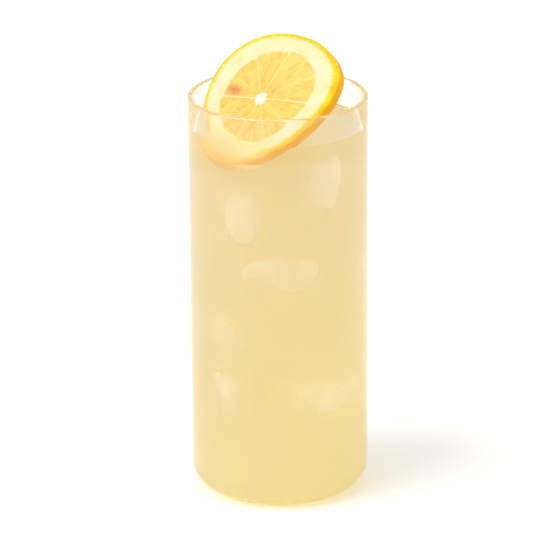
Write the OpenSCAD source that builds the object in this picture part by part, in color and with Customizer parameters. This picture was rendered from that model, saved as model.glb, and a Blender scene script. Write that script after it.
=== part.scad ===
/* [Glass] */
// Outer diameter of the tumbler
glass_d = 65; // [52:0.5:80]
// Height of the tumbler from its foot to its lip
glass_h = 150; // [110:1:190]
// Thickness of the side wall
wall_t = 1.8; // [1.4:0.1:2.8]
// Thickness of the base
base_t = 2.6; // [2:0.1:6]
// Outer radius where the side wall turns into the base
foot_r = 9; // [5:0.5:14]

/* [Drink] */
// Depth of the liquid's surface below the lip
fill_gap = 11.8; // [5:0.1:40]
// Gap between the liquid and the glass that holds it
wet_gap = 0.05; // [0.02:0.01:0.2]

/* [Lemon slice] */
// Diameter of the slice over its peel
slice_d = 56.6; // [40:0.1:72]
// Thickness of the slice
slice_t = 4.4; // [3:0.1:7]
// Tilt of the slice from lying flat
slice_tilt = 43.6; // [25:0.1:60]
// Turn of the slice about the glass, where 0 lowers its front edge
slice_turn = -46; // [-180:1:180]
// Height of the middle of the cut face above the lip
slice_rise = 1.5; // [-4:0.1:20]
// Radius to which the slice has bent
bend_r = 69; // [45:1:300]
// Direction in the slice's own plane along which it bends
bend_turn = 59; // [0:1:180]
// Gap between the slice's edge and the wall that it leans on
seat_gap = 0.3; // [0.1:0.05:0.6]
// Gap between the slice and the liquid around it
dip_gap = 0.05; // [0.02:0.01:0.2]

/* [Hidden] */
$fn = 96;

// Inside of the glass
bore_r = glass_d / 2 - wall_t;
bore_foot_r = foot_r - wall_t;

// The liquid stands up to this height
level = glass_h - fill_gap;

// The slice's edge may reach this far from the glass's axis
seat_r = bore_r - seat_gap;
slice_r = slice_d / 2;

// A slice that fits the bore moves out until its edge meets the wall
room = seat_r * seat_r - slice_r * slice_r;
slice_out = sin(slice_tilt) * sqrt(max(room, 0));

// Point of the tilted slice's edge at the angle a, on the face that lies the
// distance deep below the cut face, measured from the middle of the cut face
function edge_point(a, deep) =
    let (x = slice_r * cos(a))
    let (y = slice_r * sin(a))
    let (w = x * cos(bend_turn) + y * sin(bend_turn))
    let (z = sqrt(pow(bend_r - deep, 2) - w * w) - bend_r)
    [x, y * cos(slice_tilt) - z * sin(slice_tilt), y * sin(slice_tilt) + z * cos(slice_tilt)];

// What lies further out than the wall has to be above the lip, so a slice that
// is wider than the bore rides up until the lip holds it
edge_step = 2;
over_lip = [
    for (a = [0 : edge_step : 360 - edge_step])
    for (deep = [0, slice_t])
    let (p = edge_point(a, deep))
    if (norm([p.x, p.y - slice_out]) > seat_r) seat_gap - p.z
];
slice_lift = max(concat([slice_rise], over_lip));

// Overlap of a cutting body past the piece that it cuts
past = 1;

// Half of a solid cup's outline, from the axis out: a flat underside at the
// height low, a round corner and a straight side up to the height top
module cup_outline(r, corner, low, top) {
    deep = top - low;
    flat_r = r - corner;
    translate([0, low]) {
        square([flat_r, deep]);
        translate([0, corner])
            square([r, deep - corner]);
        intersection() {
            translate([flat_r, corner])
                circle(r = corner);
            translate([flat_r, 0])
                square([corner, corner]);
        }
    }
}

// Clear tumbler with a rounded foot corner and a fire-polished lip
module glass() {
    lip_r = wall_t / 2;
    color([0.92, 0.95, 0.94, 0.35])
        rotate_extrude() {
            difference() {
                cup_outline(glass_d / 2, foot_r, 0, glass_h - lip_r);
                cup_outline(bore_r, bore_foot_r, base_t, glass_h);
            }
            translate([glass_d / 2 - lip_r, glass_h - lip_r])
                circle(r = lip_r);
        }
}

// Liquid up to its level, with the slice's sunk part left free
module lemonade() {
    color([0.95, 0.87, 0.62])
        difference() {
            rotate_extrude()
                cup_outline(bore_r - wet_gap, bore_foot_r - wet_gap, base_t + wet_gap, level);
            place_slice()
                bent_disc(slice_r + dip_gap, slice_t, dip_gap);
        }
}

// Puts a piece that is modelled flat, cut face up, where the slice leans
module place_slice() {
    rotate([0, 0, slice_turn])
        translate([0, -slice_out, glass_h + slice_lift])
            rotate([slice_tilt, 0, 0])
                children();
}

// Disc that is bent over a cylinder, thicker by extra on both faces
module bent_disc(r, t, extra) {
    reach = t + bend_r - sqrt(bend_r * bend_r - r * r) + past;
    intersection() {
        translate([0, 0, -reach])
            cylinder(r = r, h = reach + past);
        difference() {
            bend_roller(bend_r + extra, r + past);
            bend_roller(bend_r - t - extra, r + 2 * past);
        }
    }
}

// Lying cylinder over which the slice has bent
module bend_roller(r, half_length) {
    rotate([0, 0, bend_turn])
        translate([0, half_length, -bend_r])
            rotate([90, 0, 0])
                cylinder(r = r, h = 2 * half_length);
}

// Whole round slice of lemon that leans in the mouth
module lemon_slice() {
    color([0.99, 0.82, 0.2])
        place_slice()
            bent_disc(slice_r, slice_t, 0);
}

glass();
lemonade();
lemon_slice();
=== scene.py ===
import math
import random

import bmesh
import bpy
import numpy as np
from mathutils import Matrix, Vector


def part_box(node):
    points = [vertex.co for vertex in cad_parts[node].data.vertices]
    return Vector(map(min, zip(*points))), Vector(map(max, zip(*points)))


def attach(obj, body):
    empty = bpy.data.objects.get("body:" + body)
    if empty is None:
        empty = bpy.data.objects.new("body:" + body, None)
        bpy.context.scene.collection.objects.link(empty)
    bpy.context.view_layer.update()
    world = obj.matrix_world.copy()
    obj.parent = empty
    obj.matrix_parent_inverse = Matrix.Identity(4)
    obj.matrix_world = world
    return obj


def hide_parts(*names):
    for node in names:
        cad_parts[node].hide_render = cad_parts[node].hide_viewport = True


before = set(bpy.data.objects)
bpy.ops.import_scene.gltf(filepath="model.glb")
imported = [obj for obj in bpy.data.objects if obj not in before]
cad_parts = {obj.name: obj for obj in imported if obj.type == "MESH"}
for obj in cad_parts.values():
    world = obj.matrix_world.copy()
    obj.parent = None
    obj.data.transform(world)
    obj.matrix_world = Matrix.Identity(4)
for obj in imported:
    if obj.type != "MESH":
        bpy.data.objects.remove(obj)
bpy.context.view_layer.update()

# ---------------------------------------------------------------- viewpoint
# A long lens on a stand, a step away from the table and looking down at the
# glass by about twenty degrees.

glass_low, glass_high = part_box("glass")
glass_r = glass_high.x
glass_h = glass_high.z

camera_away = 1.4215
camera_rise = math.radians(19.83)
camera_roll = math.radians(-0.365)
aim = Vector((0.00037, 0, 0.07877))

camera_data = bpy.data.cameras.new("camera")
camera_data.sensor_width = 36
camera_data.lens = 249.5
camera_data.clip_end = 20
camera = bpy.data.objects.new("camera", camera_data)
camera.location = (0, -camera_away * math.cos(camera_rise),
                   glass_h / 2 + camera_away * math.sin(camera_rise))
facing = (aim - camera.location).to_track_quat("-Z", "Y").to_matrix()
camera.rotation_euler = (facing @ Matrix.Rotation(camera_roll, 3, "Z")).to_euler()
bpy.context.scene.collection.objects.link(camera)
bpy.context.scene.camera = camera
bpy.context.scene.view_settings.view_transform = "Standard"

# ---------------------------------------------------------------- studio
# Matt white paper under the glass, a broad lamp high on the left with a weaker
# one on the right, and an evenly white room that lights the rest.

class Number:
    """A value in a shader that is worked on with plain arithmetic signs."""

    def __init__(self, finish, socket):
        self.finish = finish
        self.socket = socket

    def _with(self, operation, *others):
        node = self.finish.node("ShaderNodeMath", {"operation": operation}, list(others))
        return Number(self.finish, node.outputs[0])

    def __add__(self, other):
        return self._with("ADD", self, other)

    def __radd__(self, other):
        return self._with("ADD", other, self)

    def __sub__(self, other):
        return self._with("SUBTRACT", self, other)

    def __rsub__(self, other):
        return self._with("SUBTRACT", other, self)

    def __mul__(self, other):
        return self._with("MULTIPLY", self, other)

    def __rmul__(self, other):
        return self._with("MULTIPLY", other, self)

    def __pow__(self, other):
        return self._with("POWER", self, other)

    def step(self, low, high):
        """Smooth rise from 0 at low to 1 at high."""
        settings = {"interpolation_type": "SMOOTHSTEP"}
        inputs = {"Value": self, "From Min": low, "From Max": high}
        node = self.finish.node("ShaderNodeMapRange", settings, inputs)
        return Number(self.finish, node.outputs[0])


class Finish:
    """A material that is put together node by node."""

    def __init__(self, name):
        self.material = bpy.data.materials.new(name)
        self.material.use_nodes = True
        self.tree = self.material.node_tree
        self.tree.nodes.clear()

    def node(self, kind, settings=None, inputs=None):
        """New node: its settings are set first, then its sockets' values and links."""
        node = self.tree.nodes.new(kind)
        for name, value in (settings or {}).items():
            setattr(node, name, value)
        pairs = enumerate(inputs) if isinstance(inputs, list) else (inputs or {}).items()
        for key, value in pairs:
            if isinstance(value, Number):
                value = value.socket
            if isinstance(value, bpy.types.NodeSocket):
                self.tree.links.new(value, node.inputs[key])
            else:
                node.inputs[key].default_value = value
        return node

    def mask(self, name):
        """How much of one finish a place on the piece has, from 0 to 1."""
        node = self.node("ShaderNodeAttribute", {"attribute_name": name})
        return Number(self, node.outputs["Fac"])

    def blend(self, factor, first, second):
        """Colour that goes from the first to the second as factor rises."""
        inputs = {"Factor": factor, 6: first, 7: second}
        return self.node("ShaderNodeMix", {"data_type": "RGBA"}, inputs).outputs[2]

    def finish(self, surface, volume=None):
        """Material that ends in this surface, and in this volume if there is one."""
        links = {"Surface": surface}
        if volume is not None:
            links["Volume"] = volume
        self.node("ShaderNodeOutputMaterial", None, links)
        return self.material


floor_half = 3.0
floor_z = -0.0001
floor_corners = [(x * floor_half, y * floor_half, floor_z) for x, y in ((-1, -1), (1, -1), (1, 1), (-1, 1))]
floor_mesh = bpy.data.meshes.new("floor")
floor_mesh.from_pydata(floor_corners, [], [(0, 1, 2, 3)])
floor = bpy.data.objects.new("floor", floor_mesh)
bpy.context.scene.collection.objects.link(floor)
paper = Finish("white_paper")
grain = paper.node("ShaderNodeTexNoise", None, {"Scale": 900.0, "Detail": 2.0})
paper_bump = paper.node("ShaderNodeBump", None, {
    "Strength": 0.05, "Distance": 0.0002, "Height": grain.outputs[0]})
paper_shader = paper.node("ShaderNodeBsdfPrincipled", None, {
    "Base Color": (0.91, 0.908, 0.9, 1), "Roughness": 0.9, "Normal": paper_bump.outputs[0]})
floor_mesh.materials.append(paper.finish(paper_shader.outputs[0]))

world = bpy.data.worlds.new("room")
world.use_nodes = True
room_light = world.node_tree.nodes["Background"]
room_light.inputs["Color"].default_value = (1.0, 1.0, 1.0, 1)
room_light.inputs["Strength"].default_value = 0.87
bpy.context.scene.world = world

# light turns many times inside a cloudy drink before it leaves, and it is
# bent at every surface on the way
paths = bpy.context.scene.cycles
paths.max_bounces = 400
paths.volume_bounces = 96
paths.diffuse_bounces = 16
paths.glossy_bounces = 400
paths.transmission_bounces = 400
paths.transparent_max_bounces = 32
paths.blur_glossy = 0.0


def hang_lamp(name, place, size, watts):
    """Round lamp that looks at the middle of the glass."""
    data = bpy.data.lights.new(name, "AREA")
    data.shape = "DISK"
    data.size = size
    data.energy = watts
    lamp = bpy.data.objects.new(name, data)
    lamp.location = place
    towards = Vector((0, 0, glass_h / 2)) - Vector(place)
    lamp.rotation_euler = towards.to_track_quat("-Z", "Y").to_euler()
    bpy.context.scene.collection.objects.link(lamp)


hang_lamp("key_lamp", (-0.62, -0.3, 1.45), size=0.78, watts=11.0)
hang_lamp("fill_lamp", (1.3, -0.2, 0.7), size=1.2, watts=5)

# ---------------------------------------------------------------- tumbler
# Straight tumbler of clear borosilicate glass, drawn as one tube with its
# foot closed and its lip melted round in the flame.

wall = 0.0018
base = 0.0026
foot_corner = 0.009
bore_r = glass_r - wall
bore_corner = foot_corner - wall


def arc(centre_r, centre_z, radius, start, end, steps):
    """Points on an arc of a profile, with angles in degrees from the outward side."""
    points = []
    for i in range(steps + 1):
        a = math.radians(start + (end - start) * i / steps)
        points.append((centre_r + radius * math.cos(a), centre_z + radius * math.sin(a)))
    return points


def rise(radius, low, high, steps):
    """Points on a straight side of a profile, without its two ends."""
    return [(radius, low + (high - low) * i / steps) for i in range(1, steps)]


def lathe_tree():
    """Node tree that turns a profile about the Z axis, poles and seam closed."""
    tree = bpy.data.node_groups.new("lathe", "GeometryNodeTree")
    ports = tree.interface
    ports.new_socket("Profile", in_out="INPUT", socket_type="NodeSocketGeometry")
    ports.new_socket("Points", in_out="INPUT", socket_type="NodeSocketInt")
    ports.new_socket("Segments", in_out="INPUT", socket_type="NodeSocketInt")
    ports.new_socket("Finish", in_out="INPUT", socket_type="NodeSocketMaterial")
    ports.new_socket("Piece", in_out="OUTPUT", socket_type="NodeSocketGeometry")

    def add(kind, settings=None, links=None):
        node = tree.nodes.new(kind)
        for key, value in (settings or {}).items():
            setattr(node, key, value)
        for key, value in (links or {}).items():
            if isinstance(value, bpy.types.NodeSocket):
                tree.links.new(value, node.inputs[key])
            else:
                node.inputs[key].default_value = value
        return node

    def maths(operation, first, second=0.0):
        return add("ShaderNodeMath", {"operation": operation}, {0: first, 1: second}).outputs[0]

    given = add("NodeGroupInput").outputs
    around = maths("ADD", given["Segments"], 1.0)
    grid = add("GeometryNodeMeshGrid", None, {"Vertices X": around, "Vertices Y": given["Points"]})
    index = add("GeometryNodeInputIndex").outputs[0]
    column = maths("FLOOR", maths("DIVIDE", index, given["Points"]))
    row = maths("SUBTRACT", index, maths("MULTIPLY", column, given["Points"]))
    place = add("GeometryNodeInputPosition").outputs[0]
    sample = add("GeometryNodeSampleIndex", {"data_type": "FLOAT_VECTOR"},
                 {"Geometry": given["Profile"], "Value": place, "Index": row})
    parts = add("ShaderNodeSeparateXYZ", None, {0: sample.outputs[0]})
    turn = maths("MULTIPLY", maths("DIVIDE", column, given["Segments"]), 2 * math.pi)
    x = maths("MULTIPLY", parts.outputs[0], maths("COSINE", turn))
    y = maths("MULTIPLY", parts.outputs[0], maths("SINE", turn))
    point = add("ShaderNodeCombineXYZ", None, {0: x, 1: y, 2: parts.outputs[2]})
    turned = add("GeometryNodeSetPosition", None,
                 {"Geometry": grid.outputs[0], "Position": point.outputs[0]})
    merged = add("GeometryNodeMergeByDistance", None, {"Geometry": turned.outputs[0], "Distance": 1e-6})
    smooth = add("GeometryNodeSetShadeSmooth", None, {"Geometry": merged.outputs[0]})
    real = add("GeometryNodeRealizeInstances", None, {"Geometry": smooth.outputs[0]})
    painted = add("GeometryNodeSetMaterial", None,
                  {"Geometry": real.outputs[0], "Material": given["Finish"]})
    add("NodeGroupOutput", None, {0: painted.outputs[0]})
    return tree


LATHE = lathe_tree()


def turn_on_lathe(name, profile, segments, material):
    """Plain mesh object made from a profile of (radius, height) points."""
    points = [(r, 0, z) for r, z in profile]
    raw = bpy.data.meshes.new(name + "_profile")
    raw.from_pydata(points, [(i, i + 1) for i in range(len(points) - 1)], [])
    rough = bpy.data.objects.new(name + "_profile", raw)
    bpy.context.scene.collection.objects.link(rough)
    modifier = rough.modifiers.new("lathe", "NODES")
    modifier.node_group = LATHE
    sizes = {"Points": len(points), "Segments": segments, "Finish": material}
    for item in LATHE.interface.items_tree:
        if item.name in sizes:
            modifier[item.identifier] = sizes[item.name]
    ready = rough.evaluated_get(bpy.context.evaluated_depsgraph_get())
    mesh = bpy.data.meshes.new_from_object(ready)
    bpy.data.objects.remove(rough)
    mesh.name = name
    piece = bpy.data.objects.new(name, mesh)
    bpy.context.scene.collection.objects.link(piece)
    return piece


def let_lamps_through(finish, shader):
    """Clear pieces cast no black shadow: shadow rays pass straight through."""
    path = finish.node("ShaderNodeLightPath")
    clear = finish.node("ShaderNodeBsdfTransparent")
    inputs = {0: path.outputs["Is Shadow Ray"], 1: shader.outputs[0], 2: clear.outputs[0]}
    return finish.node("ShaderNodeMixShader", None, inputs).outputs[0]


clear_glass = Finish("clear_glass")
waver = clear_glass.node("ShaderNodeTexNoise", None, {"Scale": 22.0, "Detail": 1.0})
glass_bump = clear_glass.node("ShaderNodeBump", None, {
    "Strength": 0.02, "Distance": 0.0004, "Height": waver.outputs[0]})
glass_shader = clear_glass.node("ShaderNodeBsdfPrincipled", None, {
    "Base Color": (0.955, 0.953, 0.945, 1), "Roughness": 0.0, "IOR": 1.47,
    "Transmission Weight": 1.0, "Normal": glass_bump.outputs[0]})
glass_material = clear_glass.finish(let_lamps_through(clear_glass, glass_shader))

lip = wall / 2
flat_share = 0.4
corner_steps = 14
side_steps = 8
lip_steps = 12
turn_steps = 160
tumbler_profile = [(0, 0), (glass_r * flat_share, 0)]
tumbler_profile += arc(glass_r - foot_corner, foot_corner, foot_corner, -90, 0, corner_steps)
tumbler_profile += rise(glass_r, foot_corner, glass_h - lip, side_steps)
tumbler_profile += arc(glass_r - lip, glass_h - lip, lip, 0, 180, lip_steps)
tumbler_profile += rise(bore_r, glass_h - lip, base + bore_corner, side_steps)
tumbler_profile += arc(bore_r - bore_corner, base + bore_corner, bore_corner, 0, -90, corner_steps)
tumbler_profile += [(glass_r * flat_share, base), (0, base)]
tumbler = turn_on_lathe("tumbler", tumbler_profile, turn_steps, glass_material)
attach(tumbler, "root")
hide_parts("glass")

# ---------------------------------------------------------------- ice
# Lumps of clear ice with melted, rounded corners, sunk in the drink close to
# the wall. Each is a cube pressed round, dented where it melted, and frosted
# only on the side that faces the wall.

ice_seed = 7
ice_steps = 14
ice_roundness = 2.5
ice_dents = 4
ice_dent = 0.035
ice_lean = (0.3, 0.2, 1)
ice_finish = Finish("melting_ice")
ice_places = ice_finish.node("ShaderNodeTexCoord")
ice_cloud = ice_finish.node("ShaderNodeTexNoise", None, {
    "Vector": ice_places.outputs["Object"], "Scale": 60.0, "Detail": 1.0})
cloud = Number(ice_finish, ice_cloud.outputs[0])
ice_axes = ice_finish.node("ShaderNodeSeparateXYZ", None, {0: ice_places.outputs["Object"]})
ice_x = Number(ice_finish, ice_axes.outputs[0])
ice_y = Number(ice_finish, ice_axes.outputs[1])
ice_out = (ice_x ** 2 + ice_y ** 2) ** 0.5
frosted = ice_out.step(0.017, 0.025) * ice_finish.mask("outward").step(0.3, 1.05)
# inside the drink, ice bends light hardly more than the drink round it does
ice_clear = ice_finish.node("ShaderNodeBsdfPrincipled", None, {
    "Base Color": (1.0, 1.0, 1.0, 1), "Roughness": 0.0, "IOR": 1.002, "Transmission Weight": 1.0})
ice_white = ice_finish.node("ShaderNodeBsdfPrincipled", None, {
    "Base Color": (0.97, 0.98, 1.0, 1), "Roughness": 0.6, "Specular IOR Level": 0.0})
ice_mix = ice_finish.node("ShaderNodeMixShader", None, {
    0: frosted * (cloud.step(0.3, 0.75) * 0.25 + 0.2), 1: ice_clear.outputs[0], 2: ice_white.outputs[0]})
ice_material = ice_finish.finish(let_lamps_through(ice_finish, ice_mix))

# place of the middle, size and turn of each lump, in millimetres and degrees
ice_lumps = [
    ((13, -15, 123), (14, 15, 22), 20),
    ((-10, -15, 110), (16, 18, 23), -15),
    ((1, -15, 89), (26, 20, 19), 10),
    ((-13, -13, 64), (13, 17, 16), 35),
    ((-14, -13, 42), (13, 17, 20), -20),
    ((12, -13, 42), (27, 19, 18), 25),
    ((18, 3, 84), (15, 20, 22), 40),
]


def ice_lump(place, size, turn, noise):
    """Corners and faces of one rounded lump, from the six sides of a cube."""
    points = []
    faces = []
    for axis in range(3):
        for side in (-1, 1):
            start = len(points)
            for i in range(ice_steps + 1):
                for j in range(ice_steps + 1):
                    corner = np.zeros(3)
                    corner[axis] = side
                    corner[(axis + 1) % 3] = (2 * i / ice_steps - 1) * side
                    corner[(axis + 2) % 3] = 2 * j / ice_steps - 1
                    far = (np.abs(corner) ** ice_roundness).sum() ** (1 / ice_roundness)
                    points.append(corner / far)
            for i in range(ice_steps):
                for j in range(ice_steps):
                    a = start + i * (ice_steps + 1) + j
                    faces.append((a, a + ice_steps + 1, a + ice_steps + 2, a + 1))
    points = np.array(points)
    dents = sum(ice_dent * np.sin(points @ wave + shift)[:, None] for wave, shift in noise)
    points = points * (1 + dents) * np.array(size) / 2
    points = points @ np.array(Matrix.Rotation(math.radians(turn), 3, ice_lean)).T
    return (points + np.array(place)) / 1000, faces


draw = random.Random(ice_seed)
ice_points = []
ice_faces = []
for place, size, turn in ice_lumps:
    noise = []
    for _ in range(ice_dents):
        wave = np.array([draw.uniform(-4, 4) for _ in range(3)])
        noise.append((wave, draw.uniform(0, 6)))
    points, faces = ice_lump(place, size, turn, noise)
    offset = len(ice_points)
    ice_points += [tuple(p) for p in points]
    ice_faces += [tuple(offset + v for v in face) for face in faces]
ice_mesh = bpy.data.meshes.new("ice_lumps")
ice_mesh.from_pydata(ice_points, [], ice_faces)
worked = bmesh.new()
worked.from_mesh(ice_mesh)
bmesh.ops.remove_doubles(worked, verts=worked.verts, dist=1e-6)
bmesh.ops.recalc_face_normals(worked, faces=worked.faces)
worked.to_mesh(ice_mesh)
worked.free()
ice_mesh.shade_smooth()
outward = [v.normal.dot(Vector((v.co.x, v.co.y, 0)).normalized()) for v in ice_mesh.vertices]
layer = ice_mesh.attributes.new("outward", "FLOAT", "POINT")
layer.data.foreach_set("value", outward)
ice_mesh.materials.append(ice_material)
ice = bpy.data.objects.new("ice_lumps", ice_mesh)
bpy.context.scene.collection.objects.link(ice)
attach(ice, "root")

# ---------------------------------------------------------------- lemonade
# Cloudy lemonade poured up to a finger below the lip. It wets the glass and
# climbs the wall a little, so its edge is a thin raised ring.

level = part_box("lemonade")[1].z
reach = 0.0002
climb = 0.0011
climb_width = 0.0012
climb_steps = 11

lemonade = Finish("cloudy_lemonade")
drink_places = lemonade.node("ShaderNodeTexCoord")
drink_axes = lemonade.node("ShaderNodeSeparateXYZ", None, {0: drink_places.outputs["Object"]})
sideways = Number(lemonade, drink_axes.outputs[0])
height = Number(lemonade, drink_axes.outputs[2])
swirl = lemonade.node("ShaderNodeTexNoise", None, {
    "Vector": drink_places.outputs["Object"], "Scale": 24.0, "Detail": 2.0, "Distortion": 0.6})
swirled = Number(lemonade, swirl.outputs[0])

# painted light: the drink's surface colour is dimmed high up and towards the lamp, and lighter and yellower
# low down and away from it
drink_dimmed_lamp_side = (0.94, 0.945, 0.94, 1)
drink_bright_far_side = (1.0, 1.0, 0.86, 1)
lamp_balance = sideways * 12 - height * 8 + swirled * 0.5 + 0.55
drink_painted_light_colour = lemonade.blend(lamp_balance.step(0.0, 1.0), drink_dimmed_lamp_side, drink_bright_far_side)
drink_surface = lemonade.node("ShaderNodeBsdfPrincipled", None, {
    "Base Color": drink_painted_light_colour, "Roughness": 0.0, "IOR": 1.333, "Transmission Weight": 1.0})
haze = lemonade.node("ShaderNodeVolumeScatter", None, {
    "Color": (1.0, 0.998, 0.99, 1), "Density": 120.0, "Anisotropy": 0.7})
tint = lemonade.node("ShaderNodeVolumeAbsorption", None, {
    "Color": (0.885, 0.722, 0.011, 1), "Density": 18.2})
murk = lemonade.node("ShaderNodeAddShader", None, {0: haze.outputs[0], 1: tint.outputs[0]})
lemonade_material = lemonade.finish(let_lamps_through(lemonade, drink_surface), murk.outputs[0])

drink_r = bore_r + reach
drink_profile = [(0, base - reach), (drink_r * flat_share, base - reach)]
drink_profile += arc(bore_r - bore_corner, base + bore_corner, bore_corner + reach, -90, 0, corner_steps)
drink_profile += rise(drink_r, base + bore_corner, level + climb, side_steps)
drink_profile += [(drink_r, level + climb)]
for i in range(climb_steps + 1):
    inward = climb_width * 5 * (i / climb_steps) ** 1.6
    lift = climb * math.exp(-inward / climb_width)
    drink_profile.append((bore_r - inward, level + lift))
drink_profile += [(drink_r * 0.5, level), (0, level)]
drink = turn_on_lathe("lemonade_body", drink_profile, turn_steps, lemonade_material)
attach(drink, "root")
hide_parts("lemonade")

# ---------------------------------------------------------------- lemon slice
# One round cut across a lemon with the peel left on, bent a little and pushed
# slantwise into the mouth of the glass, so that its low edge is in the drink.

# sizes in millimetres; u runs along the tilt's hinge and v up the face
slice_r = 28.3
slice_t = 4.4
bend_r = 69.0
bend_turn = math.radians(59)
slice_tilt = math.radians(43.6)
slice_turn = math.radians(-46)
edge_round = 0.7
spokes = 600
face_rings = 84
back_rings = 24
side_rings = 4
edge_rings = 6
core_u = 0.3
core_v = -1.8
core_r = 2.1
seam = math.radians(188)
slice_seed = 3

# one segment after another round the core: where it starts, how far out its
# flesh goes, and how clear the skin is that parts it from the one before
segments = [
    (11, 20.2, 0.8),
    (47, 20.0, 0.15),
    (95, 19.2, 0.45),
    (131, 18.3, 0.2),
    (188, 19.3, 1.0),
    (228, 19.6, 0.1),
    (268, 20.6, 0.15),
    (308, 20.8, 0.35),
    (340, 20.2, 0.15),
]


def rough_line(values, seed, waves, size):
    """A wavering number along an angle, the same after a full turn."""
    pick = random.Random(seed)
    total = np.zeros_like(values)
    for wave in waves:
        total += np.sin(values * wave + pick.uniform(0, 6.28)) * pick.uniform(0.5, 1)
    return total * size / len(waves)


def smooth_step(values, low, high):
    """Smooth rise from 0 at low to 1 at high."""
    share = np.clip((values - low) / (high - low), 0, 1)
    return share * share * (3 - 2 * share)


def sac_pattern(across, along, seed):
    """Juice sacs as cells: how far a place is from its cell's edge, and each cell's own tone."""
    base_a = np.floor(across)
    base_b = np.floor(along)
    nearest = np.full_like(across, 9.0)
    second = np.full_like(across, 9.0)
    tone = np.zeros_like(across)
    for step_a in (-1, 0, 1):
        for step_b in (-1, 0, 1):
            cell_a = base_a + step_a
            cell_b = base_b + step_b
            chance = np.modf(np.abs(np.sin(cell_a * 127.1 + cell_b * 311.7 + seed) * 43758.5))[0]
            other = np.modf(chance * 57.31)[0]
            gap = np.hypot(cell_a + 0.15 + 0.7 * chance - across, cell_b + 0.15 + 0.7 * other - along)
            closer = gap < nearest
            second = np.where(closer, nearest, np.minimum(second, gap))
            tone = np.where(closer, np.modf(chance * 91.7)[0], tone)
            nearest = np.where(closer, gap, nearest)
    return second - nearest, tone


# rings from the middle of the face, round the peel and back to the middle, each
# with how far out and how deep in the slice it lies
rows = [((slice_r - edge_round) * i / face_rings, 0.0) for i in range(face_rings + 1)]
for i in range(1, edge_rings + 1):
    a = math.pi / 2 * i / edge_rings
    rows.append((slice_r - edge_round * (1 - math.sin(a)), edge_round * (1 - math.cos(a))))
for i in range(1, side_rings + 1):
    rows.append((slice_r, edge_round + (slice_t - 2 * edge_round) * i / (side_rings + 1)))
for i in range(edge_rings + 1):
    a = math.pi / 2 * i / edge_rings
    rows.append((slice_r - edge_round * (1 - math.cos(a)), slice_t - edge_round * (1 - math.sin(a))))
for i in range(1, back_rings + 1):
    rows.append(((slice_r - edge_round) * (1 - i / back_rings), slice_t))
row_r = np.array([r for r, deep in rows])[:, None]
row_deep = np.array([deep for r, deep in rows])[:, None]
turns = (seam + np.arange(spokes) * 2 * math.pi / spokes)[None, :]
face_u = row_r * np.cos(turns)
face_v = row_r * np.sin(turns)
deep = np.repeat(row_deep, spokes, axis=1)
front = (np.arange(len(rows)) <= face_rings)[:, None]
out = np.hypot(face_u, face_v)

# flesh of each segment inside its thin skin, and the white skins that show
core_out = np.hypot(face_u - core_u, face_v - core_v)
core_turn = np.arctan2(face_v - core_v, face_u - core_u)
flesh = np.zeros_like(out)
skin = np.zeros_like(out)
flesh_round = 0.5
for i, (start, reach_out, clear) in enumerate(segments):
    next_start, _, clear_end = segments[(i + 1) % len(segments)]
    start = math.radians(start)
    from_start = (core_turn - start) % (2 * math.pi)
    width = (math.radians(next_start) - start) % (2 * math.pi)
    inside = from_start < width
    sides = [
        core_out * np.sin(np.minimum(from_start, math.pi / 2)) - 0.02 - 0.12 * clear,
        core_out * np.sin(np.clip(width - from_start, 0, math.pi / 2)) - 0.02 - 0.12 * clear_end,
        reach_out + rough_line(turns, i, (23, 41, 67), 0.22) - out,
        core_out - core_r - rough_line(core_turn, 40 + i, (5, 9, 14), 0.9),
    ]
    near = -flesh_round * np.log(sum(np.exp(-np.clip(side, -12, 30) / flesh_round) for side in sides))
    flesh = np.where(inside, smooth_step(near, -0.5, 0.25), flesh)
    to_line = core_out * np.abs(np.sin((core_turn - start + math.pi) % (2 * math.pi) - math.pi))
    ahead = np.cos(core_turn - start) > 0
    fading = clear + (1 - clear) * smooth_step(core_out, 8, 18)
    strength = clear * fading * ahead * (1 - smooth_step(to_line, 0.05, 0.4)) * (out < reach_out)
    skin = np.maximum(skin, strength)

# juice sacs: cells in rings round the core, each wider further out
sac_edge, sac_tone = sac_pattern((core_turn - seam) % (2 * math.pi) * 7.5, core_out / 5.2, slice_seed)
sac_swell = np.sqrt(np.clip(sac_edge, 0, 1))

# peel, its yellow blush in the pith, and the ragged white core
zest_depth = 1.5 + rough_line(turns, 5, (37, 61, 89, 127), 0.6)
zest = smooth_step(out, slice_r - zest_depth - 1.0, slice_r - zest_depth + 0.45)
zest_blush = smooth_step(out, slice_r - 4.2, slice_r - 0.9)
core_edge = rough_line(core_turn, 9, (4, 7, 11), 1.1)
core = 1 - smooth_step(core_out, 2.0 + core_edge, 2.6 + core_edge)

# a brown bruise, the place of a lost seed, and darker rays on one side of the core
stain_u = -14.2
stain_v = -1.2
seed_u = 3.6
seed_v = 2.4
ray_middle = math.radians(78)
ray_reach = 7.0
stain = np.exp(-((face_u - stain_u) / 3.8) ** 2 - ((face_v - stain_v) / 1.8) ** 2)
seed_mark = np.exp(-((face_u - seed_u) ** 2 + (face_v - seed_v) ** 2) / 0.5)
ray_turn = np.abs((core_turn - ray_middle + math.pi) % (2 * math.pi) - math.pi)
rays = np.clip(np.sin(core_turn * 61) + 0.3 * np.sin(core_turn * 23), 0, 1)
rays = rays * np.exp(-(ray_turn / 0.42) ** 2) * np.exp(-((core_out - ray_reach) / 3.6) ** 2)

# the knife leaves the flesh a little lower than the pith, and the sacs swell
pressed = 0.1 + flesh * (0.32 - 0.26 * np.clip(sac_swell, 0, 1)) - 0.05 * skin
pressed = pressed * (1 - 0.9 * smooth_step(out, slice_r - 2.4, slice_r - edge_round))
deep = np.where(front, deep + pressed, deep)

# the cut isn't quite round: the peel's edge wanders in and out
side_pull = rough_line(turns, 21, (3, 5, 9, 14), 0.22) - 0.12
side_share = smooth_step(out, slice_r - 4, slice_r)
face_u = face_u * (1 + side_pull * side_share / slice_r)
face_v = face_v * (1 + side_pull * side_share / slice_r)

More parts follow.
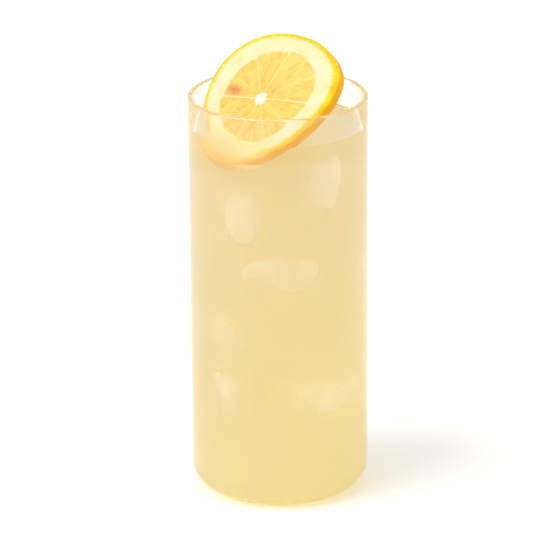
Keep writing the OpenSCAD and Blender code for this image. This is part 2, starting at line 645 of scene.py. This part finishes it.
# bent over a cylinder, tilted, turned and set where the frame has it
across = face_u * math.cos(bend_turn) + face_v * math.sin(bend_turn)
up = np.sqrt((bend_r - deep) ** 2 - across ** 2) - bend_r
bent = np.stack([face_u, face_v, up], axis=-1).reshape(-1, 3) / 1000
tilting = Matrix.Rotation(slice_turn, 3, "Z") @ Matrix.Rotation(slice_tilt, 3, "X")
placed = bent @ np.array(tilting).T
slice_low, slice_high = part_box("lemon_slice")
middle = np.array((slice_low + slice_high) / 2)
placed = placed - (placed.max(axis=0) + placed.min(axis=0)) / 2 + middle

# painted shade: the peel's outer side is darker on the part that stands out of the drink
placed_height = placed[:, 2].reshape(out.shape)
peel_side_shade = smooth_step(row_deep, 0.1, 1.6) * smooth_step(placed_height, 0.133, 0.150)

slice_faces = []
for i in range(len(rows) - 1):
    near_row = i * spokes
    far_row = near_row + spokes
    for j in range(spokes):
        k = (j + 1) % spokes
        slice_faces.append((near_row + j, far_row + j, far_row + k, near_row + k))
slice_mesh = bpy.data.meshes.new("lemon_round")
slice_mesh.from_pydata([tuple(p) for p in placed], [], slice_faces)
marks = {
    "flesh": flesh,
    "skin": skin,
    "zest": zest,
    "blush": zest_blush,
    "core": core,
    "stain": stain,
    "seed_mark": seed_mark,
    "sac_edge": np.clip(sac_edge, 0, 1),
    "sac_tone": sac_tone,
    "rays": rays,
    "peel_side_shade": peel_side_shade,
}
for name, values in marks.items():
    layer = slice_mesh.attributes.new(name, "FLOAT", "POINT")
    layer.data.foreach_set("value", np.broadcast_to(values, out.shape).ravel())
grain_place = np.stack([np.cos(core_turn) * 34, np.sin(core_turn) * 34, core_out / 5 + deep], axis=-1)
layer = slice_mesh.attributes.new("grain_place", "FLOAT_VECTOR", "POINT")
layer.data.foreach_set("vector", grain_place.ravel())
worked = bmesh.new()
worked.from_mesh(slice_mesh)
bmesh.ops.remove_doubles(worked, verts=worked.verts, dist=1e-7)
bmesh.ops.recalc_face_normals(worked, faces=worked.faces)
worked.to_mesh(slice_mesh)
worked.free()
slice_mesh.shade_smooth()

lemon = Finish("cut_lemon")
fibres = lemon.node("ShaderNodeAttribute", {"attribute_name": "grain_place"})
streaks = lemon.node("ShaderNodeTexNoise", None, {
    "Vector": fibres.outputs["Vector"], "Scale": 1.0, "Detail": 3.0, "Roughness": 0.55})
streak = Number(lemon, streaks.outputs[0])
places = lemon.node("ShaderNodeTexCoord")
sponges = lemon.node("ShaderNodeTexNoise", None, {
    "Vector": places.outputs["Object"], "Scale": 650.0, "Detail": 4.0, "Roughness": 0.6})
sponge = Number(lemon, sponges.outputs[0])
blotches = lemon.node("ShaderNodeTexNoise", None, {
    "Vector": places.outputs["Object"], "Scale": 130.0, "Detail": 3.0})
blotch = Number(lemon, blotches.outputs[0])
pores = lemon.node("ShaderNodeTexVoronoi", {"feature": "SMOOTH_F1"}, {
    "Vector": places.outputs["Object"], "Scale": 950.0, "Smoothness": 0.4})
pore = Number(lemon, pores.outputs[0])

flesh_light = (0.85, 0.62, 0.18, 1)
flesh_deep = (0.80, 0.47, 0.08, 1)
flesh_line = (0.95, 0.76, 0.30, 1)
pith_pale = (0.84, 0.72, 0.46, 1)
pith_warm = (0.83, 0.67, 0.34, 1)
core_white = (0.93, 0.91, 0.66, 1)
peel_bright = (0.97, 0.62, 0.005, 1)
peel_dark = (0.82, 0.38, 0.003, 1)
# colour of the painted shade on the peel's side above the drink
peel_shaded = (0.66, 0.30, 0.001, 1)
ray_amber = (0.66, 0.29, 0.03, 1)
stain_brown = (0.62, 0.23, 0.10, 1)

flesh_tone = lemon.mask("sac_tone") * 0.3 + streak * 1.2 - 0.25
flesh_colour = lemon.blend(flesh_tone.step(0.1, 0.9), flesh_deep, flesh_light)
sac_line = 1 - lemon.mask("sac_edge").step(0.0, 0.22)
flesh_colour = lemon.blend(sac_line * 0.3, flesh_colour, flesh_line)
pith_colour = lemon.blend(blotch.step(0.35, 0.75), pith_pale, pith_warm)
peel_patch = blotch.step(0.3, 0.7) * 0.6 + (1 - pore.step(0.1, 0.45)) * 0.4
peel_colour = lemon.blend(peel_patch, peel_bright, peel_dark)
# painted shade: the peel's outer side is darkened where it stands out of the drink
peel_colour = lemon.blend(lemon.mask("peel_side_shade") * 0.8, peel_colour, peel_shaded)
surface_colour = lemon.blend(lemon.mask("flesh"), pith_colour, flesh_colour)
surface_colour = lemon.blend(lemon.mask("skin") * 0.75, surface_colour, pith_pale)
surface_colour = lemon.blend(lemon.mask("core"), surface_colour, core_white)
browned = lemon.mask("stain") * (streak.step(0.35, 0.6) * 0.5 + 0.7) * lemon.mask("flesh")
surface_colour = lemon.blend(browned, surface_colour, stain_brown)
surface_colour = lemon.blend(lemon.mask("rays") * 0.45, surface_colour, ray_amber)
surface_colour = lemon.blend(lemon.mask("seed_mark") * 0.6, surface_colour, stain_brown)
surface_colour = lemon.blend(lemon.mask("blush") * 0.4, surface_colour, peel_bright)
surface_colour = lemon.blend(lemon.mask("zest"), surface_colour, peel_colour)

wet = lemon.mask("flesh")
relief = streak * wet * 0.6 + sponge * (1 - wet) * 0.35 + pore * lemon.mask("zest") * 0.8
lemon_bump = lemon.node("ShaderNodeBump", None, {
    "Strength": 0.35, "Distance": 0.0003, "Height": relief})
lemon_dull = 0.55 - wet * 0.28 - lemon.mask("zest") * 0.1
lemon_shader = lemon.node("ShaderNodeBsdfPrincipled", None, {
    "Base Color": surface_colour, "Roughness": lemon_dull,
    "Subsurface Weight": 0.6, "Subsurface Radius": (1.0, 0.6, 0.2), "Subsurface Scale": 0.0012,
    "Specular IOR Level": 0.12, "Normal": lemon_bump.outputs[0]})
slice_mesh.materials.append(lemon.finish(lemon_shader.outputs[0]))
lemon_round = bpy.data.objects.new("lemon_round", slice_mesh)
bpy.context.scene.collection.objects.link(lemon_round)
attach(lemon_round, "root")
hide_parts("lemon_slice")
